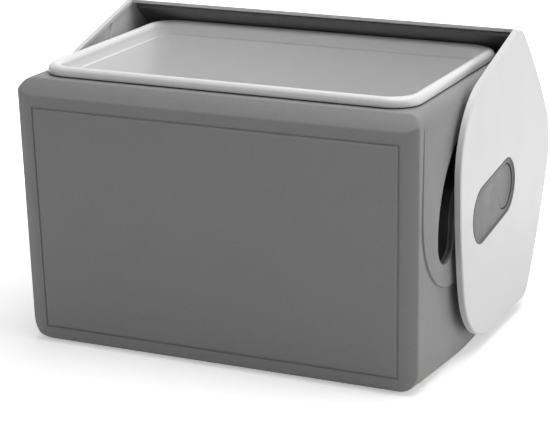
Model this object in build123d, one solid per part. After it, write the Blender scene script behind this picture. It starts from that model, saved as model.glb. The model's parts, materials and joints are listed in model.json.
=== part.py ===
# Personal tent-top cooler with a swing lid.
# Millimetres. X runs along the length, the front face looks along -Y, Z is up.
# The origin is the centre of the foot's face, on the surface that the cooler stands on.
# The lid is drawn closed about its pivot axis and then laid open to the back, which is the rest pose.

import os
from math import acos, atan2, cos, degrees, hypot, radians, sin, sqrt, tan

from build123d import *

# Body, outside
foot_height = 1.5
foot_end_margin = 33.6
foot_side_margin = 21.3
foot_corner_radius = 12.0
body_top = 224.5
face_half_depth = 125.3
shoulder_drop = 13.0
shoulder_run = 11.3
face_draft = 2.4
end_half_length = 173.6
end_draft = 1.1
end_top_radius = 12.0
corner_bevel_x = 6.5
corner_bevel_y = 8.5
base_bevel_height = 6.5
base_bevel_depth = 4.5
low_corner_radius = 19.0
low_corner_lead = 3.0
shell_wall = 3.0

# Raised panel on the front and the back
panel_top_end_margin = 15.4
panel_base_end_margin = 17.6
panel_shoulder_gap = 9.7
panel_base_z = 13.8
panel_rise = 1.2
panel_root = 0.5
panel_edge_taper = 40.0

# End pads that the lid's plates sweep past
pad_recess = 1.8
pad_wall = 4.4
pad_depth = 20.0
pad_side_margin = 20.8
pad_base_z = 68.0
pad_corner_radius = 71.0
pad_top_radius = 11.0
pad_bevel = 1.2

# Lid pivot and the arc track around it
pivot_z = 117.5
track_radius = 57.5
track_half_width = 16.5
track_end_angle = 12.0
track_wall = 2.2
track_depth = 15.4
track_relief = 0.3
track_flange = 2.0
track_flange_reach = 7.0
track_flange_drop = 34.0
track_rib = 2.4

# Liner
rim_end_margin = 12.6
rim_side_margin = 5.5
rim_corner_radius = 24.0
rim_bead_width = 9.4
rim_foot_gap = 1.0
rim_height = 8.5
rim_lip = 2.2
shell_liner_gap = 0.6
liner_wall = 2.4
liner_draft = 1.8
liner_floor_z = 19.0
liner_step_drop = 12.0
liner_step_width = 1.2
liner_base_bevel = 9.0
gasket_inset = 1.2
bead_flat = 0.2
ledge_overlap = 0.5

# Foam
foam_gap = 0.3
foam_plug_radius = 11.0
foam_plug_spacing = 180.0
foam_plug_height = 5.0
foam_plug_clearance = 0.15
foam_plug_bevel = 0.6

# Lid, closed, measured from the pivot axis
sweep_clearance = 0.6
ridge_height = 181.5
ridge_half_flat = 12.0
ridge_round_end = (22.0, 179.0)
eave_inset = 3.0
eave_rise = 8.5
eave_round = (8.8, 15.0)
lid_wall = 2.5
plate_gap = 5.3
plate_wall = 5.4
plate_skin = 2.6
plate_rim = 3.2
plate_rib = 1.6
plate_side_taper = 12.9
plate_side_low = 10.0
plate_corner_end = (50.0, -49.0)
plate_base = -51.7
plate_bevel = 0.9
stop_gap = 0.3
stop_height = 10.0
roof_skirt = 40.0
plate_rib_step = 30
oblong_wall = 3.7

# Lid liner and foam
lid_liner_wall = 2.2
lid_liner_rise = 7.0
lid_tray_end_margin = 27.1
lid_tray_flat = 18.0
lid_tray_height = 167.5
lid_tray_half_width = 56.0
lid_liner_fit = 0.2
lid_end_gap = 0.3
lid_foam_gap = 0.3
lid_foam_edge = 143.0

# Hub: pin in the body, bush in the lid
pin_radius = 8.0
pin_head_radius = 12.0
pin_head_height = 1.2
pin_head_bevel = 0.5
pin_tip_bevel = 0.8
pin_running_clearance = 0.06
pin_seat_clearance = 0.02
pin_hole_clearance = 0.4
socket_wall = 4.0
bush_wall = 2.5
bush_flange_radius = 15.0
bush_flange = 1.2
bush_seat_clearance = 0.05
hub_boss_radius = 18.0
thrust_gap = 0.3
end_gap = 0.1
bush_root = 1.0

# Oblong hub covers
cover_radius = 23.8
cover_clearance = 0.3
cover_thickness = 2.8
cover_proud = 0.3
cover_bevel = 0.8
cover_head_clearance = 0.6

# Push button with its stem, guide and spring
button_offset = 60.5
button_radius = 18.8
button_clearance = 0.5
button_travel = 4.0
button_cap = 2.6
button_dish = 0.8
button_bevel = 0.6
button_border = 3.0
stem_flange_radius = 12.5
stem_flange = 1.2
stem_fit = 0.05
ring_wall = 1.5
ring_height = 1.1
skirt_radius = 9.6
skirt_wall = 1.2
skirt_clearance = 0.2
nib_reach = 12.6
nib_width = 4.0
nib_height = 2.4
nib_clearance = 0.6
guide_wall = 1.6
guide_floor = 1.2
guide_floor_gap = 0.5
follower_wall = 2.6
guide_web = 1.5
guide_flange_radius = 26.0
guide_flange_clearance = 1.0
guide_drain_radius = 4.0
guide_web_gap = 1.5
spring_mean_radius = 7.4
spring_wire_radius = 0.55
spring_turns = 5
spring_end_gap = 0.1

# Leaf that holds the button's nib when the lid is shut
leaf_thickness = 0.5
leaf_width = 2.8
leaf_half_angle = 22.0
leaf_hump_angle = 7.0
leaf_hump_spread = 4.5
leaf_bend_radius = 2.5
leaf_hump_drop = 2.7
leaf_seat_depth = 1.5
leaf_seat_overlap = 0.5
leaf_slot_gap = 0.1

# Screws
screw_shank_radius = 1.4
screw_head_radius = 2.6
screw_head_height = 1.3
screw_head_bevel = 0.6
guide_screw_circle = 22.8
screw_hole_clearance = 0.1
screw_head_clearance = 0.4
guide_screw_length = 4.4
guide_pilot_depth = 2.3
handle_screw_spacing = 134.0
handle_screw_length = 13.0
handle_screw_run_out = 0.5

# Carrying handle on the ridge
handle_height = 38.0
handle_half_length = 82.0
handle_half_width = 11.0
handle_leg_outer = 66.0
handle_leg_lean = 8.0
handle_leg = 15.0
handle_grip = 13.0
handle_foot = 3.0
handle_outer_radius = 16.0
handle_inner_radius = 9.0
handle_edge_bevel = 3.2

# Tools that cut right through
over_cut = 1.0
long_cut = 20.0
far = 400.0

# Worked out from the sizes above
foot_half_length = end_half_length - foot_end_margin
foot_half_depth = face_half_depth - foot_side_margin
shoulder_z = body_top - shoulder_drop
top_half_depth = face_half_depth - shoulder_run
panel_top_half_length = end_half_length - panel_top_end_margin
panel_base_half_length = end_half_length - panel_base_end_margin
panel_top_z = shoulder_z - panel_shoulder_gap
pad_x = end_half_length - pad_recess
pad_half_width = face_half_depth - pad_side_margin
track_floor_x = pad_x - track_depth
rim_half_length = end_half_length - rim_end_margin
rim_half_depth = top_half_depth - rim_side_margin
plate_inner_x = pad_x + plate_gap
eave_corner = (face_half_depth - eave_inset, shoulder_z - pivot_z + eave_rise)
slope_end = (eave_corner[0] - eave_round[0], eave_corner[1] + eave_round[1])
plate_side_end = (eave_corner[0] - plate_side_taper, plate_side_low)
lid_tray_half_length = plate_inner_x - lid_tray_end_margin
lid_liner_eave = eave_corner[1] + lid_liner_rise
face_slope = tan(radians(face_draft))
end_slope = tan(radians(end_draft))
body_sweep = max(hypot(face_half_depth, shoulder_z - pivot_z), hypot(top_half_depth, body_top - pivot_z))
lid_inner_radius = body_sweep + sweep_clearance
plate_outer_x = plate_inner_x + plate_wall
pad_inner_x = pad_x - pad_wall
rim_top = body_top + rim_height
hub_boss_x = pad_x + thrust_gap + bush_flange
bush_outer = pin_radius + pin_running_clearance + bush_wall
cover_back_x = plate_outer_x + cover_proud - cover_thickness
pin_head_x = cover_back_x + end_gap
guide_end_x = track_floor_x + guide_floor_gap
skirt_end_x = guide_end_x + guide_floor + button_travel + end_gap
leaf_x0 = skirt_end_x - 2 * leaf_slot_gap
cap_back_x = plate_outer_x + cover_proud - button_cap
stem_top_x = cap_back_x - stem_fit


def face_y(z, inset=0.0):
    """Half-depth of the drafted front and back faces at a height."""
    return face_half_depth - (shoulder_z - z) * face_slope - inset


def end_x(z, inset=0.0):
    """Half-length of the drafted end walls at a height."""
    return end_half_length - (body_top - z) * end_slope - inset


def lid_open_angle():
    """Angle from shut to the pose where the eave's inner corner meets the back face."""
    corner_y = eave_corner[0] - lid_wall
    corner_r = hypot(corner_y, eave_corner[1])
    start = degrees(atan2(eave_corner[1], corner_y))
    z = foot_height + stop_height
    for _ in range(6):
        below = degrees(acos((face_y(z) + stop_gap) / corner_r))
        z = pivot_z - corner_r * sin(radians(below))
    return start + below


open_angle = lid_open_angle()


def ring_x(outer, inner, x0, x1, y=0.0, z=0.0):
    """Ring or disc about an axis along X."""
    solid = Plane.YZ.offset(x0) * Pos(y, z) * Circle(outer)
    part = extrude(solid, x1 - x0)
    if inner > 0:
        part -= extrude(Plane.YZ.offset(x0) * Pos(y, z) * Circle(inner), x1 - x0)
    return part


def turned(points, y=0.0, z=0.0):
    """Closed (x, radius) section turned about an axis along X."""
    section = make_face(Polyline(points, close=True))
    return Pos(0, y, z) * revolve(Plane.XZ * section, Axis.X)


def lay_open(part):
    """Turns a part drawn with the lid shut, about the pivot, to the rest pose."""
    return Pos(0, 0, pivot_z) * Rot(-open_angle, 0, 0) * part


def both_ends(part):
    """The part at the right end and its mirror image at the left end."""
    return part, mirror(part, about=Plane.YZ)


# Outer form of the body
def side_face(inset=0.0):
    """Side view of the body: drafted faces, sloping shoulders and a bevel along the base."""
    low = foot_height
    rise = low + base_bevel_height
    half = [
        (-face_y(rise) + base_bevel_depth, low),
        (-face_y(rise), rise),
        (-face_half_depth, shoulder_z),
        (-top_half_depth, body_top),
    ]
    face = make_face(Polyline(half + [(-y, z) for y, z in reversed(half)], close=True))
    return offset(face, -inset, kind=Kind.INTERSECTION) if inset else face


def plan_loft(inset=0.0):
    """Drafted block with bevelled upright corners."""
    plan = []
    for z in (foot_height + inset, body_top - inset):
        x, y = end_x(z, inset), face_y(z, inset)
        quarter = [(x, y - corner_bevel_y), (x - corner_bevel_x, y)]
        points = quarter + [(-a, b) for a, b in reversed(quarter)]
        points += [(-a, -b) for a, b in points]
        plan.append(Plane.XY.offset(z) * make_face(Polyline(points, close=True)))
    return loft(plan, ruled=True)


def round_low_corners(form, inset=0.0):
    """Rounds the four lower corners as seen from the front, fading out along the end walls."""
    r = low_corner_radius
    low = foot_height + inset
    x, y = end_x(low, inset), face_y(low, inset)
    lead = low_corner_lead
    for sx in (-1, 1):
        for sy in (-1, 1):
            corner = Pos(sx * (x - r / 2), low + r / 2) * Rectangle(r, r)
            corner -= Pos(sx * (x - r), low + r) * Circle(r)
            start = Plane.XZ.offset(-sy * (y + lead)) * Pos(-lead * sx, 0) * corner
            form -= extrude(start, 3 * r, dir=(sx, -sy, 0))
    return form


def body_form():
    """Solid outer form of the body, before its panels, pads and openings."""
    reach = end_half_length + low_corner_lead
    form = extrude(Plane.YZ * side_face(), reach, both=True)
    outline = make_face(Polyline(
        (-reach, 0), (reach, 0), (end_half_length, body_top), (-end_half_length, body_top), close=True))
    outline = fillet(outline.vertices().group_by(Axis.Y)[-1], end_top_radius)
    form &= extrude(Plane.XZ * outline, 2 * face_half_depth, both=True)
    form &= plan_loft()
    return round_low_corners(form)


def body_cavity(inset):
    """Space inside the outer shell, at a wall thickness from the outer form."""
    limit = pad_inner_x - (inset - shell_wall)
    space = extrude(Plane.YZ * side_face(inset), limit, both=True)
    return round_low_corners(space & plan_loft(inset), inset)


def panel(side):
    """Raised panel with sloped edges, on the front (-1) or the back (1) face."""
    a = radians(face_draft)
    origin = (0, side * face_half_depth, shoulder_z)
    tilt = Plane(origin=origin, x_dir=(1, 0, 0), z_dir=(0, side * cos(a), -sin(a)))
    y_top = side * (shoulder_z - panel_top_z) / cos(a)
    y_base = side * (shoulder_z - panel_base_z) / cos(a)
    points = [
        (panel_base_half_length, y_base),
        (panel_top_half_length, y_top),
        (-panel_top_half_length, y_top),
        (-panel_base_half_length, y_base),
    ]
    root = tilt.offset(-panel_root) * make_face(Polyline(points, close=True))
    return extrude(root, panel_rise + panel_root, taper=panel_edge_taper)


def pad_face():
    """Outline of an end pad, open at the top of the body."""
    low = pad_base_z - pivot_z
    high = body_top - pivot_z
    half = pad_half_width
    face = make_face(Polyline((-half, low), (half, low), (half, high), (-half, high), close=True))
    return fillet(face.vertices().group_by(Axis.Y)[0], pad_corner_radius)


def end_pad():
    """Upright pad at the right end, running up over a rounded edge to the top."""
    root_x = pad_x - pad_depth
    block = extrude(Plane.YZ.offset(root_x) * Pos(0, pivot_z) * pad_face(), pad_x - root_x)
    block = chamfer(block.faces().sort_by(Axis.X)[-1].edges().sort_by(Axis.Z)[:-1], pad_bevel)
    corners = [(root_x, 0), (pad_x, 0), (pad_x, body_top), (root_x, body_top)]
    section = make_face(Polyline(corners, close=True))
    section = fillet(section.vertices().sort_by(Axis.X)[-2:].sort_by(Axis.Y)[-1:], pad_top_radius)
    return block & extrude(Plane.XZ * section, 2 * pad_half_width, both=True)


def pad_clear():
    """Space cleared for a pad at the right end."""
    return extrude(Plane.YZ.offset(pad_x - pad_depth) * Pos(0, pivot_z) * pad_face(), 2 * pad_depth)


def track_slot(half_width, x0, x1):
    """Arc-shaped slot round the pivot, over the top from front to back."""
    line = CenterArc((0, 0), track_radius, -track_end_angle, 180 + 2 * track_end_angle)
    face = SlotArc(line, 2 * half_width)
    return extrude(Plane.YZ.offset(x0) * Pos(0, pivot_z) * face, x1 - x0)


def rim_outline(inset):
    """Plan of the rim's outer edge, moved inwards."""
    return RectangleRounded(
        2 * (rim_half_length - inset), 2 * (rim_half_depth - inset), rim_corner_radius - inset / 2)


def rim_ring(outer_inset, inner_inset, z0, z1):
    """Ring that follows the rim in plan."""
    return extrude(Pos(0, 0, z0) * (rim_outline(outer_inset) - rim_outline(inner_inset)), z1 - z0)


def basin(grow=0.0, top=None):
    """Drafted basin that the liner's wall follows, grown outwards by a wall or a clearance."""
    start = rim_top - liner_step_drop
    face = rim_outline(rim_bead_width + liner_step_width - grow)
    depth = start - liner_floor_z + grow
    block = extrude(Pos(0, 0, start) * face, depth, dir=(0, 0, -1), taper=liner_draft)
    block = chamfer(block.faces().sort_by(Axis.Z)[0].edges(), liner_base_bevel)
    if top is not None:
        block += extrude(Pos(0, 0, start - grow) * rim_outline(rim_bead_width - grow), top - start + grow)
    return block


def outer_shell():
    form = body_form()
    for side in (-1, 1):
        form += panel(side)
    for clear in both_ends(pad_clear()):
        form -= clear
    for pad in both_ends(end_pad()):
        form += pad
    foot = RectangleRounded(2 * foot_half_length, 2 * foot_half_depth, foot_corner_radius)
    form += extrude(foot, foot_height + over_cut)
    form -= body_cavity(shell_wall)
    form -= basin(liner_wall + shell_liner_gap, top=body_top + over_cut)
    slot = track_slot(track_half_width, pad_inner_x - over_cut, pad_x + over_cut)
    hole = ring_x(pin_radius + pin_hole_clearance, 0, pad_inner_x - over_cut, pad_x + over_cut, z=pivot_z)
    for cut in both_ends(slot) + both_ends(hole):
        form -= cut
    for x in (-1, 1):
        form -= Pos(x * foam_plug_spacing / 2, 0, 0) * Cylinder(
            foam_plug_radius + foam_plug_clearance, long_cut)
    return form


def fill_plugs():
    plugs = []
    for x in (-1, 1):
        stem = Pos(x * foam_plug_spacing / 2, 0, foot_height) * Cylinder(
            foam_plug_radius, foam_plug_height, align=(Align.CENTER, Align.CENTER, Align.MIN))
        plugs.append(chamfer(stem.faces().sort_by(Axis.Z)[0].edges(), foam_plug_bevel))
    return plugs


def liner():
    """Inner tub: rolled rim, stepped neck and drafted basin in one wall."""
    neck_inset = rim_bead_width - liner_wall
    step = rim_top - liner_step_drop
    bead = rim_ring(0, rim_bead_width, body_top + rim_foot_gap, rim_top)
    top_edges = bead.faces().sort_by(Axis.Z)[-1].edges()
    bead = fillet(top_edges, (rim_bead_width - bead_flat) / 2)
    bead -= rim_ring(rim_lip, neck_inset, body_top, rim_top - rim_bead_width / 2)
    neck = rim_ring(neck_inset, rim_bead_width, step - liner_wall, rim_top - rim_bead_width / 2)
    ledge = rim_ring(neck_inset, rim_bead_width + liner_step_width + ledge_overlap, step - liner_wall, step)
    return bead + neck + (ledge - basin()) + (basin(liner_wall) - basin())


def rim_gasket():
    """Thin seal between the rim's foot and the top of the shell."""
    inner = rim_bead_width - liner_wall - shell_liner_gap
    return rim_ring(gasket_inset, inner, body_top, body_top + rim_foot_gap)


def latch_track():
    """Moulding behind the right end wall: arc channel, its flange and the pivot pin's socket."""
    back = track_floor_x - track_wall
    reach = track_radius + track_half_width + track_relief + track_wall + track_flange_reach
    flange = Plane.YZ.offset(pad_inner_x - track_flange) * Pos(0, pivot_z) * (
        Circle(reach) - Pos(0, -reach) * Rectangle(2 * reach, 2 * (reach - track_flange_drop)))
    body = extrude(flange, track_flange)
    body += track_slot(track_half_width + track_relief + track_wall, back, pad_inner_x)
    body += ring_x(pin_radius + socket_wall, 0, back, pad_inner_x, z=pivot_z)
    for angle in (0, 90, 180):
        rib = Rot(0, 0, angle) * Pos(track_radius / 2, 0) * Rectangle(track_radius, track_rib)
        body += extrude(Plane.YZ.offset(back) * Pos(0, pivot_z) * rib, pad_inner_x - back)
    body -= track_slot(track_half_width + track_relief, track_floor_x, pad_inner_x + over_cut)
    body -= ring_x(pin_radius + pin_seat_clearance, 0, track_floor_x, pad_inner_x + over_cut, z=pivot_z)
    return body


def leaf_seat(part):
    """Recess in the right track's outer wall for the detent leaf."""
    wall = track_radius + track_half_width + track_relief
    half = leaf_half_angle + 1
    arc = CenterArc((0, 0), wall + leaf_seat_depth / 2 - leaf_seat_overlap, 90 - half, 2 * half)
    line = trace(arc, leaf_seat_depth + 2 * leaf_seat_overlap)
    seat = Plane.YZ.offset(leaf_x0 - leaf_slot_gap) * Pos(0, pivot_z) * line
    return part - extrude(seat, leaf_width + 2 * leaf_slot_gap)


def detent_leaf():
    """Spring leaf with two humps. The button's nib snaps between them when the lid is shut."""
    seat = track_radius + track_half_width + track_relief + leaf_seat_depth - leaf_thickness
    crest = seat - leaf_hump_drop
    inner, outer = leaf_hump_angle - leaf_hump_spread, leaf_hump_angle + leaf_hump_spread
    stations = [(leaf_half_angle, seat), (outer, seat), (leaf_hump_angle, crest), (inner, seat)]
    stations += [(-a, r) for a, r in reversed(stations)]
    points = [(r * sin(radians(a)), r * cos(radians(a))) for a, r in stations]
    strip = trace(FilletPolyline(*points, radius=leaf_bend_radius), leaf_thickness)
    return extrude(Plane.YZ.offset(leaf_x0) * Pos(0, pivot_z) * strip, leaf_width)


def pivot_pin():
    shaft = ring_x(pin_radius, 0, track_floor_x + end_gap, pin_head_x, z=pivot_z)
    shaft = chamfer(shaft.faces().sort_by(Axis.X)[0].edges(), pin_tip_bevel)
    head = ring_x(pin_head_radius, 0, pin_head_x, pin_head_x + pin_head_height, z=pivot_z)
    return shaft + chamfer(head.faces().sort_by(Axis.X)[-1].edges(), pin_head_bevel)


def foam_core():
    foam = body_cavity(shell_wall + foam_gap)
    foam -= basin(liner_wall + foam_gap, top=body_top + over_cut)
    back = track_floor_x - track_wall - foam_gap
    reach = track_radius + track_half_width + track_relief + track_wall + foam_gap
    room = track_slot(reach - track_radius, back, pad_x)
    room += ring_x(reach + track_flange_reach, 0, pad_inner_x - track_flange - foam_gap, pad_x, z=pivot_z)
    room += ring_x(track_radius, 0, back, pad_x, z=pivot_z)
    for cut in both_ends(room):
        foam -= cut
    for x in (-1, 1):
        foam -= Pos(x * foam_plug_spacing / 2, 0, 0) * Cylinder(
            foam_plug_radius + foam_gap, 2 * (foot_height + foam_plug_height + foam_gap))
    return foam


# Lid, drawn shut with the pivot axis at Y = Z = 0
def roof_line():
    """Outer line of the lid from eave to eave, each arc tangent to the one before it."""
    flat = Line((0, ridge_height), (ridge_half_flat, ridge_height))
    ridge_round = TangentArc(flat @ 1, ridge_round_end, tangent=flat % 1)
    slope = TangentArc(ridge_round @ 1, slope_end, tangent=ridge_round % 1)
    eave_round = TangentArc(slope @ 1, eave_corner, tangent=slope % 1)
    right = [flat, ridge_round, slope, eave_round]
    return right + [mirror(edge, about=Plane.YZ) for edge in right]


def roof_face(inset=0.0):
    """Filled side view of the roof above the eaves, or the same moved inwards."""
    y, z = eave_corner
    low = z - roof_skirt if inset else z
    skirt = Polyline((y, z), (y, low), (-y, low), (-y, z)) if inset else Line((y, z), (-y, z))
    face = make_face(Curve() + roof_line() + skirt)
    return offset(face, -inset) if inset else face


def plate_face():
    """Side view of an end plate: the roof's line above, and a rounded hub end below."""
    side = Line(eave_corner, plate_side_end)
    corner = TangentArc(side @ 1, plate_corner_end, tangent=side % 1)
    base = ThreePointArc(corner @ 1, (0, plate_base), (-plate_corner_end[0], plate_corner_end[1]))
    left = [mirror(edge, about=Plane.YZ) for edge in (side, corner)]
    return make_face(Curve() + roof_line() + [side, corner, base] + left)


def oblong(radius):
    """Stadium round the pivot and the button's centre."""
    face = Circle(radius) + Pos(0, button_offset) * Circle(radius)
    return face + Pos(0, button_offset / 2) * Rectangle(2 * radius, button_offset)


def at_x(x, face):
    return Plane.YZ.offset(x) * face


def end_plate():
    """Right end plate: skin, turned-in rim, ribs, hub boss and the oblong seat for the hub cover."""
    outline = plate_face()
    plate = extrude(at_x(plate_inner_x, outline), plate_wall)
    plate = chamfer(plate.faces().sort_by(Axis.X)[-1].edges(), plate_bevel)
    island = oblong(cover_radius + oblong_wall)
    pocket = offset(outline, -plate_rim) - island
    for angle in range(0, 180, plate_rib_step):
        pocket -= Rot(0, 0, angle) * Rectangle(far, plate_rib)
    plate -= extrude(at_x(plate_inner_x - over_cut, pocket), over_cut + plate_wall - plate_skin)
    plate += extrude(at_x(hub_boss_x, Circle(hub_boss_radius)), plate_inner_x - hub_boss_x)
    plate -= extrude(at_x(cover_back_x, oblong(cover_radius + cover_clearance)), plate_wall)
    plate -= extrude(at_x(hub_boss_x - over_cut, Circle(bush_outer + bush_seat_clearance)), 2 * plate_wall)
    return plate


def button_hole():
    """Side view of the hole that the button's cap moves in."""
    return Pos(0, button_offset) * Circle(button_radius + button_clearance)


def lid_shell():
    roof = roof_face() - roof_face(lid_wall)
    shell = extrude(at_x(0, roof), plate_inner_x + over_cut, both=True)
    right, left = both_ends(end_plate())
    right -= extrude(at_x(plate_inner_x - over_cut, button_hole()), long_cut)
    shell = shell + right + left
    hole_radius = screw_shank_radius + screw_hole_clearance
    for x, y in screw_spots():
        shell -= Pos(x, y, ridge_height - lid_wall / 2) * Cylinder(hole_radius, 3 * lid_wall)
    for hole in guide_screw_axes():
        pilot = at_x(plate_inner_x - over_cut, Pos(*hole) * Circle(hole_radius))
        for cut in both_ends(extrude(pilot, over_cut + guide_pilot_depth)):
            shell -= cut
    return shell


def screw_spots():
    """Plan places of the screws that hold the handle."""
    return [(s * handle_screw_spacing / 2, 0) for s in (-1, 1)]


def guide_screw_axes():
    """Side-view places of the screws that hold the button guide and the follower."""
    return [
        (guide_screw_circle * sin(radians(a)), button_offset + guide_screw_circle * cos(radians(a)))
        for a in (60, 180, 300)
    ]


def lid_space(grow=0.0):
    """Open space inside the lid: the sweep about the pivot and a shallow tray along the ridge."""
    y = lid_tray_half_width
    z = sqrt(lid_inner_radius ** 2 - y ** 2)
    space = extrude(at_x(0, Circle(lid_inner_radius + grow)), plate_inner_x + over_cut, both=True)
    tray = make_face(Polyline(
        (-y, z), (-lid_tray_flat, lid_tray_height), (lid_tray_flat, lid_tray_height), (y, z), close=True))
    if grow:
        tray = offset(tray, grow, kind=Kind.INTERSECTION)
    return space + extrude(at_x(0, tray), lid_tray_half_length + grow, both=True)


def above(z):
    """Everything higher than z, with the lid shut."""
    return Pos(0, 0, z + far / 2) * Box(far, far, far)


def lid_liner():
    half = plate_inner_x - lid_end_gap
    room = extrude(at_x(0, roof_face(lid_wall + lid_liner_fit)), half, both=True)
    return (lid_space(lid_liner_wall) - lid_space()) & room & above(lid_liner_eave)


def lid_foam():
    half = plate_inner_x - lid_end_gap
    room = extrude(at_x(0, roof_face(lid_wall + lid_foam_gap)), half, both=True)
    foam = (room & above(lid_foam_edge)) - lid_space(lid_liner_wall + lid_foam_gap)
    head = lid_wall + screw_head_height + screw_head_clearance
    for x, y in screw_spots():
        foam -= Pos(x, y, ridge_height) * Cylinder(screw_head_radius + screw_head_clearance, 2 * head)
    return foam


def leaning(half, lean, base, top, radius):
    """Side view of an arch with leaning legs and rounded upper corners."""
    corners = [(-half - lean, base), (half + lean, base), (half, top), (-half, top)]
    face = make_face(Polyline(corners, close=True))
    return fillet(face.vertices().group_by(Axis.Y)[-1], radius)


def carry_handle():
    """Arched grip on a foot strip along the ridge."""
    base, top = ridge_height, ridge_height + handle_height
    outer, lean = handle_leg_outer, handle_leg_lean
    inner = outer - handle_leg
    arch = leaning(outer, lean, base, top, handle_outer_radius)
    hole = leaning(inner, lean, base, top - handle_grip, handle_inner_radius)
    grip = extrude(Plane.XZ * (arch - hole), handle_half_width, both=True)
    sides = grip.faces().sort_by(Axis.Y)
    edges = [e for face in (sides[0], sides[-1]) for e in face.edges() if e.center().Z > base + handle_foot]
    grip = chamfer(edges, handle_edge_bevel)
    strip = SlotOverall(2 * handle_half_length, 2 * handle_half_width)
    foot = extrude(Pos(0, 0, base) * strip, handle_foot)
    handle = grip + foot
    depth = handle_screw_length - lid_wall + handle_screw_run_out
    for x, y in screw_spots():
        handle -= Pos(x, y, base) * Cylinder(screw_shank_radius + screw_hole_clearance, 2 * depth)
    return handle


def handle_screws():
    z = ridge_height - lid_wall
    down = (Align.CENTER, Align.CENTER, Align.MAX)
    up = (Align.CENTER, Align.CENTER, Align.MIN)
    screws = []
    for x, y in screw_spots():
        head = Pos(x, y, z) * Cylinder(screw_head_radius, screw_head_height, align=down)
        head = chamfer(head.faces().sort_by(Axis.Z)[0].edges(), screw_head_bevel)
        screws.append(head + Pos(x, y, z) * Cylinder(screw_shank_radius, handle_screw_length, align=up))
    return screws


def hub_bush():
    start = hub_boss_x - bush_flange
    tube = ring_x(bush_outer, pin_radius + pin_running_clearance, start, cover_back_x - end_gap)
    return tube + ring_x(bush_flange_radius, bush_outer - bush_root, start, hub_boss_x)


def hub_cover(with_bore):
    cover = extrude(at_x(cover_back_x, oblong(cover_radius)), cover_thickness)
    cover = chamfer(cover.faces().sort_by(Axis.X)[-1].edges(), cover_bevel)
    recess = at_x(cover_back_x - over_cut, Circle(pin_head_radius + cover_head_clearance))
    cover -= extrude(recess, over_cut + pin_head_height + screw_head_clearance)
    if with_bore:
        cover -= extrude(at_x(cover_back_x - over_cut, button_hole()), long_cut)
    return cover


def push_button():
    """Cap with a dished face and a ring that holds the stem's flange."""
    face_x = plate_outer_x + cover_proud
    centre = Pos(0, button_offset)
    cap = extrude(at_x(cap_back_x, centre * Circle(button_radius)), button_cap)
    cap = chamfer(cap.faces().sort_by(Axis.X)[-1].edges(), button_bevel)
    edge = button_radius - button_border
    ball = (edge ** 2 + button_dish ** 2) / (2 * button_dish)
    cap -= Pos(face_x + ball - button_dish, 0, button_offset) * Sphere(ball)
    inner = stem_flange_radius + stem_fit
    return cap + ring_x(inner + ring_wall, inner, cap_back_x - ring_height, cap_back_x, z=button_offset)


def button_stem():
    """Stem behind the cap: flange, hollow skirt and two nibs at its inner end."""
    bore = skirt_radius - skirt_wall
    stem = ring_x(stem_flange_radius, 0, stem_top_x - stem_flange, stem_top_x, z=button_offset)
    stem += ring_x(skirt_radius, bore, skirt_end_x, stem_top_x, z=button_offset)
    bar = Pos(0, button_offset) * (Rectangle(nib_width, 2 * nib_reach) - Circle(bore))
    return stem + extrude(at_x(skirt_end_x, bar), nib_height)


def screwed_on(part):
    """Cuts the holes and head seats of the three guide screws."""
    web_x = pad_x + guide_web_gap
    head_depth = screw_head_height + screw_hole_clearance
    for y, z in guide_screw_axes():
        shank, head = screw_shank_radius + screw_hole_clearance, screw_head_radius + screw_hole_clearance
        part -= ring_x(shank, 0, web_x - over_cut, plate_inner_x + over_cut, y=y, z=z)
        part -= ring_x(head, 0, web_x - over_cut, web_x + head_depth, y=y, z=z)
    return part


def button_guide():
    """Cup behind the right plate: screwed flange, web, tube with two slots for the nibs, and a floor."""
    bore = skirt_radius + skirt_clearance
    outer = bore + guide_wall
    web_x = pad_x + guide_web_gap
    floor_x = guide_end_x + guide_floor
    section = [
        (web_x, guide_flange_radius),
        (plate_inner_x, guide_flange_radius),
        (plate_inner_x, button_radius + guide_flange_clearance),
        (web_x + guide_web, button_radius + guide_flange_clearance),
        (web_x + guide_web, bore),
        (floor_x, bore),
        (floor_x, guide_drain_radius),
        (guide_end_x, guide_drain_radius),
        (guide_end_x, outer),
        (web_x, outer),
    ]
    guide = turned(section, z=button_offset)
    slot = Pos(0, button_offset) * Rectangle(nib_width + nib_clearance, 2 * outer + over_cut)
    guide -= extrude(at_x(floor_x, slot), skirt_end_x + nib_height + nib_clearance - floor_x)
    return screwed_on(guide)


def track_follower():
    """Plain hollow peg on the left plate that runs in the left track. Drawn at the right end."""
    outer = skirt_radius + skirt_clearance + guide_wall
    inner = outer - follower_wall
    web_x = pad_x + guide_web_gap
    section = [
        (web_x, guide_flange_radius),
        (plate_inner_x, guide_flange_radius),
        (plate_inner_x, inner),
        (guide_end_x + follower_wall, inner),
        (guide_end_x + follower_wall, 0),
        (guide_end_x, 0),
        (guide_end_x, outer),
        (web_x, outer),
    ]
    return screwed_on(turned(section, z=button_offset))


def guide_screws():
    x = pad_x + guide_web_gap + screw_head_height
    screws = []
    for y, z in guide_screw_axes():
        screw = ring_x(screw_head_radius, 0, x - screw_head_height + end_gap, x, y=y, z=z)
        screw += ring_x(screw_shank_radius, 0, x, x + guide_screw_length, y=y, z=z)
        screws += both_ends(screw)
    return screws


def button_spring():
    """Coil behind the button, of a flat-sided wire."""
    start = guide_end_x + guide_floor + spring_wire_radius + spring_end_gap
    end = stem_top_x - stem_flange - spring_wire_radius - spring_end_gap
    length = end - start
    path = Helix(length / spring_turns, length, spring_mean_radius)
    wire = Plane(path @ 0, z_dir=path % 0) * RegularPolygon(spring_wire_radius, 6)
    coil = sweep(wire, path)
    print(f"spring: least gap between turns {length / spring_turns - 2 * spring_wire_radius:.2f}")
    return Pos(start, 0, button_offset) * Rot(0, 90, 0) * coil


def group(solids):
    return Compound(children=list(solids))


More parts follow.
